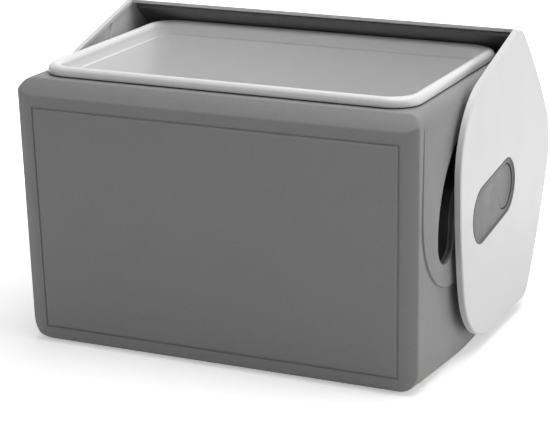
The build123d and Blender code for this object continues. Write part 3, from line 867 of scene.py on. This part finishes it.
@dataclass
class BodyShell:
    """Grained outer body with raised panels, end pads and arc slots, in millimetres."""

    top: float = 224.5
    foot: float = 1.5
    half_depth_max: float = 125.3
    shoulder_z: float = 211.5
    half_depth_top: float = 114.0
    front_draft: float = 2.4
    half_length: float = 172.6
    end_draft: float = 0.62
    end_round: float = 11.0
    end_steps: int = 5
    least_round: float = 1.0
    corner_x: float = 10.5
    corner_y: float = 4.0
    base_rise: float = 6.5
    base_run: float = 4.5
    low_radius: float = 17.0
    low_steps: int = 6
    low_fade: float = 0.09
    edge_round: float = 1.4
    wall: float = 3.0
    spare: float = 10.0
    top_band: float = 1.0

    pivot_z: float = PIVOT_Z
    track_radius: float = BUTTON_REACH
    track_half: float = 19.5
    track_over: float = 5.0
    # edges of the slot's outer arc, far end, inner arc and near end
    slot_steps: tuple[int, int, int, int] = (28, 12, 20, 12)
    pad_x: float = 173.1
    pad_half: float = 112.7
    pad_base: float = 70.9
    pad_radius: float = 71.0
    pad_steps: int = 14
    pad_round: float = 14.0
    pad_round_steps: int = 6
    pad_edge: float = 0.8
    pad_edge_angle: float = 40.0
    pad_edge_depth: float = 12.0
    hub_recess: float = 19.0
    recess_x: float = 171.7
    pin_hole: float = 8.4
    disc_steps: int = 48
    inner_x: float = 167.4
    tool_x: float = 150.0
    tool_over: float = 7.0

    panel_top_half: float = 157.2
    panel_base_half: float = 155.0
    panel_top: float = 201.8
    panel_base: float = 14.6
    panel_rise: float = 1.2
    panel_sunk: float = 1.4
    panel_slope_x: float = 1.5
    panel_slope_z: float = 1.9
    panel_edge: float = 0.9
    groove_width: float = 0.9
    groove_depth: float = 0.8
    groove_over: float = 3.0

    basin_half: Pair = (152.6, 100.1)
    basin_corner: float = 20.0
    basin_floor: float = 100.0
    basin_over: float = 5.0
    foot_half: Pair = (140.0, 104.0)
    foot_corner: float = 12.0
    foot_steps: int = 6
    foot_over: float = 1.0

    def end_x(self, z: float, inset: float = 0.0) -> float:
        """Returns the end wall's distance from the middle at a height."""
        return self.half_length - (self.top - z) * math.tan(math.radians(self.end_draft)) - inset

    def face_y(self, z: float, inset: float = 0.0) -> float:
        """Returns the front face's distance from the middle at a height."""
        lean = math.tan(math.radians(self.front_draft))
        return self.half_depth_max - (self.shoulder_z - z) * lean - inset

    def block(self, inset: float = 0.0) -> Shape:
        """Builds the body's form from a box by slicing.

        Args:
            inset: Distance by which all faces move inwards.

        Returns:
            The closed form.
        """
        shape = bmesh.new()
        low, high = self.foot + inset, self.top - inset
        long, deep = 2 * (self.half_length + self.spare), 2 * (self.half_depth_max + self.spare)
        size = Matrix.Diagonal((long, deep, high - low, 1))
        place = Matrix.Translation((0, 0, (low + high) / 2)) @ size
        bmesh.ops.create_cube(shape, size=1.0, matrix=place)
        lean = math.tan(math.radians(self.end_draft))
        for end in End:
            point = Vector((end.value * self.end_x(high, inset), 0, high))
            slice_off(shape, point, Vector((end.value, 0, -lean)))
        upper = [e for e in shape.edges if all(v.co.z > high - self.top_band for v in e.verts)]
        ends = [e for e in upper if abs(e.verts[0].co.x - e.verts[1].co.x) < MERGE_DISTANCE]
        round_off(shape, ends, max(self.end_round - inset, self.least_round), self.end_steps)
        for side in Side:
            self.long_side(shape, side, inset)
            for end in End:
                self.corner(shape, end, side, inset)
                self.low_corner(shape, end, side, inset)
        return shape

    def long_side(self, shape: Shape, side: Side, inset: float) -> None:
        """Slices one long side to its drafted face, its shoulder and its lower bevel.

        Args:
            shape: Form that is cut.
            side: Side that is cut.
            inset: Distance by which the faces move inwards.
        """
        sy = side.value
        lean = math.tan(math.radians(self.front_draft))
        point = Vector((0, sy * (self.half_depth_max - inset), self.shoulder_z))
        slice_off(shape, point, Vector((0, sy, -lean)))
        drop, run = self.top - self.shoulder_z, self.half_depth_max - self.half_depth_top
        shoulder = Vector((0, sy * drop, run)).normalized()
        point = Vector((0, sy * self.half_depth_top, self.top)) - shoulder * inset
        slice_off(shape, point, shoulder)
        rise = self.foot + self.base_rise
        base = Vector((0, sy * self.base_rise, -self.base_run)).normalized()
        slice_off(shape, Vector((0, sy * self.face_y(rise), rise)) - base * inset, base)

    def corner(self, shape: Shape, end: End, side: Side, inset: float) -> None:
        """Slices one upright corner off.

        Args:
            shape: Form that is cut.
            end: End of the corner.
            side: Long side of the corner.
            inset: Distance by which the faces move inwards.
        """
        sx, sy = end.value, side.value
        low, high = (
            Vector((sx * self.end_x(z, inset), sy * (self.face_y(z, inset) - self.corner_y), z))
            for z in (self.foot, self.top))
        normal = Vector((-sx * self.corner_x, sy * self.corner_y, 0)).cross(high - low)
        if normal.x * sx < 0:
            normal.negate()
        slice_off(shape, low, normal)

    def low_corner(self, shape: Shape, end: End, side: Side, inset: float) -> None:
        """Rounds one lower corner as seen from the front, fading out along the end wall.

        Args:
            shape: Form that is cut.
            end: End of the corner.
            side: Long side of the corner.
            inset: Distance by which the faces move inwards.
        """
        sx, sy = end.value, side.value
        low = self.foot + inset
        radius = self.low_radius
        centre = Vector((
            sx * (self.end_x(low, inset) - radius), sy * (self.face_y(low, inset) - self.corner_y),
            low + radius))
        fade = Vector((sx * self.low_fade, -sy, 0))
        for t in tangents(self.low_steps):
            out = Vector((sx * math.cos(t), 0, -math.sin(t)))
            along = Vector((sx * math.sin(t), 0, math.cos(t)))
            normal = along.cross(fade)
            if normal.dot(out) < 0:
                normal.negate()
            slice_off(shape, centre + out * radius, normal)

    def slab(self, side: Side, grow: float, sunk: float, rise: float) -> tuple[Shape, list[Corner]]:
        """Builds a block with a panel's outline, square to the drafted face.

        Args:
            side: Long side that it stands on.
            grow: Distance that the outline is larger than the panel's.
            sunk: Depth of its back under the face.
            rise: Height of its front over the face.

        Returns:
            The closed block, and the corners of its front.
        """
        sy = side.value
        shape = bmesh.new()
        lean = math.radians(self.front_draft)
        out = Vector((0, sy * math.cos(lean), -math.sin(lean)))
        for v in square(shape, Matrix.Identity(4)):
            upper = v.co.y > 0
            z = self.panel_top + grow if upper else self.panel_base - grow
            half = (self.panel_top_half if upper else self.panel_base_half) + grow
            v.co = Vector((math.copysign(half, v.co.x), sy * self.face_y(z), z)) - out * sunk
        raised = raise_faces(shape, out * (sunk + rise))
        bmesh.ops.recalc_face_normals(shape, faces=shape.faces[:])
        return shape, raised

    def panel(self, side: Side) -> Shape:
        """Builds a raised panel.

        Args:
            side: Long side that it stands on.

        Returns:
            The closed panel, sunk into the groove round it.
        """
        shape, raised = self.slab(side, 0.0, self.panel_sunk, self.panel_rise)
        middle = sum((v.co for v in raised), Vector()) / len(raised)
        for v in raised:
            v.co.x -= math.copysign(self.panel_slope_x, v.co.x)
            v.co.z -= math.copysign(self.panel_slope_z, v.co.z - middle.z)
        bmesh.ops.recalc_face_normals(shape, faces=shape.faces[:])
        soften(shape, self.panel_edge, 2, wanted=lambda e: all(v in raised for v in e.verts))
        return shape

    def slot_face(self, shape: Shape) -> None:
        """Draws the arc slot's outline by spinning a corner round its arcs.

        Args:
            shape: Mesh that the face is drawn into.
        """
        start = -math.radians(self.track_over)
        sweep = math.pi + 2 * math.radians(self.track_over)
        tip = Vector((math.cos(start), math.sin(start), 0))
        far = Vector((-tip.x, tip.y, 0))
        last = [shape.verts.new(tip * (self.track_radius + self.track_half))]
        turns = (
            (Vector(), sweep), (far * self.track_radius, math.pi),
            (Vector(), -sweep), (tip * self.track_radius, math.pi))
        for (centre, angle), steps in zip(turns, self.slot_steps):
            spun = bmesh.ops.spin(
                shape, geom=last, cent=centre, axis=(0, 0, 1), angle=angle, steps=steps)
            last = [part for part in spun["geom_last"] if isinstance(part, Corner)]
        bmesh.ops.remove_doubles(shape, verts=shape.verts[:], dist=MERGE_DISTANCE)
        bmesh.ops.contextual_create(shape, geom=shape.edges[:])

    def disc_face(self, radius: float, shape: Shape) -> None:
        """Draws a disc round the pivot."""
        bmesh.ops.create_circle(shape, cap_ends=True, segments=self.disc_steps, radius=radius)

    def pad_face(self, shape: Shape) -> None:
        """Draws an end pad's outline.

        Args:
            shape: Mesh that the face is drawn into.
        """
        low, high = self.pad_base - self.pivot_z, self.top - self.pivot_z
        size = Matrix.Diagonal((self.pad_half, (high - low) / 2, 1, 1))
        corners = square(shape, Matrix.Translation((0, (high + low) / 2, 0)) @ size)
        lower = [v for v in corners if v.co.y < 0]
        round_off(shape, lower, self.pad_radius, self.pad_steps, Rounded.CORNERS, False)

    def pad(self, end: End) -> Shape:
        """Builds an end pad, which runs up over a rounded edge to the top.

        Args:
            end: End that it stands on.

        Returns:
            The closed pad.
        """
        shape = prism_along_x(self.pad_face, self.inner_x, self.pad_x, self.pivot_z)
        centre = Vector((self.pad_x - self.pad_round, 0, self.top - self.pad_round))
        for t in tangents(self.pad_round_steps):
            out = Vector((math.cos(t), 0, math.sin(t)))
            slice_off(shape, centre + out * self.pad_round, out)
        deep, face = self.pad_x - self.pad_edge_depth, self.pad_x - FLUSH
        soften(
            shape, self.pad_edge, 2, self.pad_edge_angle,
            lambda e: all(v.co.x > deep for v in e.verts) and any(v.co.x > face for v in e.verts))
        return mirrored(shape, end)

    def basin(self) -> Shape:
        """Builds the space that the liner hangs in.

        Returns:
            The closed space.
        """
        shape = bmesh.new()
        heights = (self.basin_floor, self.top + self.basin_over)
        skin(shape, [ring(shape, self.basin_half, self.basin_corner, z) for z in heights])
        return shape

    def mouths(self, end: End) -> list[Shape]:
        """Builds the tools that cut one end: the arc slot, the hub's recess and the pin's hole.

        Args:
            end: End that is cut.

        Returns:
            The tools.
        """
        faces = (
            (self.slot_face, self.tool_x),
            (partial(self.disc_face, self.hub_recess), self.recess_x),
            (partial(self.disc_face, self.pin_hole), self.tool_x))
        stop = self.pad_x + self.tool_over
        return [mirrored(prism_along_x(draw, start, stop, self.pivot_z), end)
                for draw, start in faces]

    def foot_plate(self) -> Shape:
        """Builds the narrower foot that the body stands on.

        Returns:
            The closed foot.
        """
        shape = bmesh.new()
        heights = (0.0, self.foot + self.foot_over)
        rings = [ring(shape, self.foot_half, self.foot_corner, z, self.foot_steps) for z in heights]
        skin(shape, rings)
        return shape

    def build(self, materials: Materials) -> list[bpy.types.Object]:
        """Builds and dresses the shell.

        Args:
            materials: Material by slot.

        Returns:
            The new piece.
        """
        form = self.block()
        soften(form, self.edge_round)
        tools = [self.block(self.wall), self.basin()]
        tools += self.mouths(End.RIGHT) + self.mouths(End.LEFT)
        tools += [self.slab(side, self.groove_width, self.groove_depth, self.groove_over)[0]
                  for side in Side]
        parts = [carve(form, tools)] + [self.panel(side) for side in Side] + [self.foot_plate()]
        parts += [carve(self.pad(end), self.mouths(end)) for end in (End.RIGHT, End.LEFT)]
        return [hand_in(
            joined(parts), "body_shell", Body.TUB, Slot.SHELL, materials, ("outer_shell",))]


@dataclass
class InnerTub:
    """White tub with a rolled rim, a stepped neck and drafted walls, in millimetres."""

    half_x: float = 161.0
    half_y: float = 108.5
    corner: float = 24.0
    corner_steps: int = 12
    foot_z: float = 225.5
    top_z: float = 233.0
    bead: float = 9.4
    bead_radius: float = 4.6
    foot_round: float = 0.8
    foot_share: float = 0.3
    neck: float = 7.0
    neck_rise: float = 0.5
    wall: float = 2.4
    step_z: float = 221.0
    step: float = 1.2
    # insets and heights of the points that round the step's root and its edge
    step_root: tuple[Pair, ...] = ((0.0, 0.7), (0.3, 0.2))
    step_edge: tuple[Pair, ...] = ((-0.4, 0.0), (-0.1, -0.3), (0.0, -0.8))
    draft: float = 1.8
    floor_z: float = 19.0
    floor_round: float = 12.0
    arc_steps: int = 6
    smooth_angle: float = 40.0

    def arc(self, centre: Pair, radius: float, start: float, end: float) -> list[Pair]:
        """Draws an arc of the section.

        Args:
            centre: Its centre.
            radius: Its radius.
            start: Angle of its first point, in degrees.
            end: Angle of its last point, in degrees.

        Returns:
            Its points.
        """
        turns = [math.radians(start + (end - start) * step / self.arc_steps)
                 for step in range(self.arc_steps + 1)]
        return [(centre[0] + radius * math.cos(t), centre[1] + radius * math.sin(t)) for t in turns]

    def profile(self) -> list[Pair]:
        """Draws the wall's section from outside to inside.

        Returns:
            Insets from the rim's outline, with heights.
        """
        run = (self.step_z - self.floor_z) * math.tan(math.radians(self.draft))
        inner = self.bead + self.step
        outer = inner - self.wall
        radius, foot, floor = self.bead_radius, self.foot_round, self.floor_round
        underside = self.floor_z - self.wall
        points = [
            (outer + run + floor, underside), (outer + run, underside + floor),
            (outer, self.step_z - self.wall), (self.neck, self.step_z - self.wall + self.neck_rise),
            (self.neck, self.foot_z), (foot, self.foot_z),
            (self.foot_share * foot, self.foot_z + self.foot_share * foot),
            (0.0, self.foot_z + foot)]
        points += self.arc((radius, self.top_z - radius), radius, 180.0, 90.0)
        points += self.arc((self.bead - radius, self.top_z - radius), radius, 90.0, 0.0)
        points += [(self.bead + inset, self.step_z + rise) for inset, rise in self.step_root]
        points += [(inner + inset, self.step_z + rise) for inset, rise in self.step_edge]
        points += self.arc((inner + run + floor, self.floor_z + floor), floor, 180.0, 270.0)
        return points

    def build(self, materials: Materials) -> list[bpy.types.Object]:
        """Builds and dresses the tub.

        Args:
            materials: Material by slot.

        Returns:
            The new piece.
        """
        shape = bmesh.new()
        rings = [
            ring(shape, (self.half_x - inset, self.half_y - inset), self.corner - inset / 2, z,
                 self.corner_steps)
            for inset, z in self.profile()]
        skin(shape, rings)
        return [hand_in(
            shape, "inner_tub", Body.TUB, Slot.LINER, materials, ("liner",), self.smooth_angle)]


@dataclass
class HubTrim:
    """Oblong covers with a sunk face, and the round button in the right one.

    Sizes are in millimetres, and the shapes are drawn with the lid shut.
    """

    pivot_z: float = PIVOT_Z
    open_angle: float = 82.51
    radius: float = 23.5
    offset: float = BUTTON_REACH
    round_steps: int = 64
    back_x: float = 180.0
    face_x: float = 182.8
    rim: float = 1.9
    sink: float = 1.2
    edge: float = 0.35
    edge_angle: float = 40.0
    hole: float = 19.2
    hole_over: float = 1.0
    button: float = 18.7
    button_back_x: float = 179.0
    button_face_x: float = 180.9
    button_edge: float = 0.7
    button_edge_steps: int = 3
    dish: float = 0.7
    # width of each ring round the dish, and its share of the dish's depth
    dish_rings: tuple[Pair, ...] = ((2.6, 0.0), (2.0, 0.45), (3.0, 0.3), (4.0, 0.2), (4.0, 0.05))

    def laid_open(self, shape: Shape) -> Shape:
        """Moves a mesh from the shut lid to the open one.

        Args:
            shape: Mesh drawn about the pivot, which is changed.

        Returns:
            The same mesh.
        """
        turn = Matrix.Rotation(-math.radians(self.open_angle), 4, "X")
        place = Matrix.Translation((0, 0, self.pivot_z)) @ turn
        bmesh.ops.transform(shape, matrix=place, verts=shape.verts[:])
        return shape

    def stadium(self, radius: float, stretch: float, shape: Shape) -> None:
        """Draws a disc, or a stadium that stands upright.

        Args:
            radius: Radius of its ends.
            stretch: Distance between the centres of its ends.
            shape: Mesh that the face is drawn into.
        """
        half_step = math.pi / self.round_steps
        bmesh.ops.create_circle(
            shape, cap_ends=True, segments=self.round_steps, radius=radius / math.cos(half_step),
            matrix=Matrix.Rotation(half_step, 4, "Z"))
        upper = [v for v in shape.verts if v.co.y > 0]
        bmesh.ops.translate(shape, verts=upper, vec=(0, stretch, 0))

    def outer_face(self, shape: Shape) -> bmesh.types.BMFace:
        """Returns the face that lies farthest out."""
        return max(shape.faces, key=lambda f: f.calc_center_median().x)

    def press_in(self, shape: Shape, rings: tuple[Pair, ...]) -> None:
        """Insets the outer face several times.

        Args:
            shape: Mesh that is changed.
            rings: Width of each new ring of faces, and the depth that it leads down.
        """
        face = self.outer_face(shape)
        for width, depth in rings:
            bmesh.ops.inset_region(
                shape, faces=[face], thickness=width, depth=-depth, use_even_offset=True)

    def cover(self, end: End) -> Shape:
        """Builds an oblong cover, which has the button's hole on the right end.

        Args:
            end: End that it belongs to.

        Returns:
            The finished cover.
        """
        shape = prism_along_x(
            partial(self.stadium, self.radius, self.offset), self.back_x, self.face_x, 0.0)
        self.press_in(shape, ((self.edge, 0.0), (self.rim, self.sink)))
        if end is End.RIGHT:
            start, stop = self.back_x - self.hole_over, self.face_x + self.hole_over
            hole = prism_along_x(partial(self.stadium, self.hole, 0.0), start, stop, self.offset)
            shape = carve(shape, [hole])
        sunk = self.face_x - self.sink - FLUSH
        soften(shape, self.edge, 2, self.edge_angle, lambda e: all(v.co.x > sunk for v in e.verts))
        return self.laid_open(mirrored(shape, end))

    def cap(self) -> Shape:
        """Builds the button's dished cap.

        Returns:
            The finished cap.
        """
        shape = prism_along_x(
            partial(self.stadium, self.button, 0.0), self.button_back_x, self.button_face_x,
            self.offset)
        edges = list(self.outer_face(shape).edges)
        round_off(shape, edges, self.button_edge, self.button_edge_steps)
        self.press_in(shape, tuple((width, share * self.dish) for width, share in self.dish_rings))
        return self.laid_open(shape)

    def build(self, materials: Materials) -> list[bpy.types.Object]:
        """Builds and dresses both covers and the button.

        Args:
            materials: Material by slot.

        Returns:
            The new pieces.
        """
        rows = (
            (self.cover(End.RIGHT), "right_cover", Body.LID, "hub_cover_right"),
            (self.cover(End.LEFT), "left_cover", Body.LID, "hub_cover_left"),
            (self.cap(), "button_cap", Body.BUTTON, "push_button"))
        return [hand_in(shape, name, body, Slot.COVER, materials, (node,))
                for shape, name, body, node in rows]


def dress_nodes(materials: Materials) -> None:
    """Gives each node of the frame its slot's material.

    Args:
        materials: Material by slot.
    """
    slots = {part["node"]: Slot(part["material_slot"]) for part in frame["record"]["subparts"]}
    for name, node in frame["nodes"].items():
        node.data.materials.clear()
        node.data.materials.append(materials[slots[name]])
        LOG.info("node %s: %s", name, slots[name].value)


def main() -> None:
    """Builds the studio and every piece in order, and reports each piece."""
    logging.basicConfig(level=logging.INFO, format="%(name)s: %(message)s")
    Studio().build()
    materials = finishes()
    dress_nodes(materials)
    for assembly in (BodyShell(), InnerTub(), HubTrim()):
        for piece in assembly.build(materials):
            LOG.info("piece %s: %d faces", piece.name, len(piece.data.polygons))


if __name__ == "__main__":
    main()
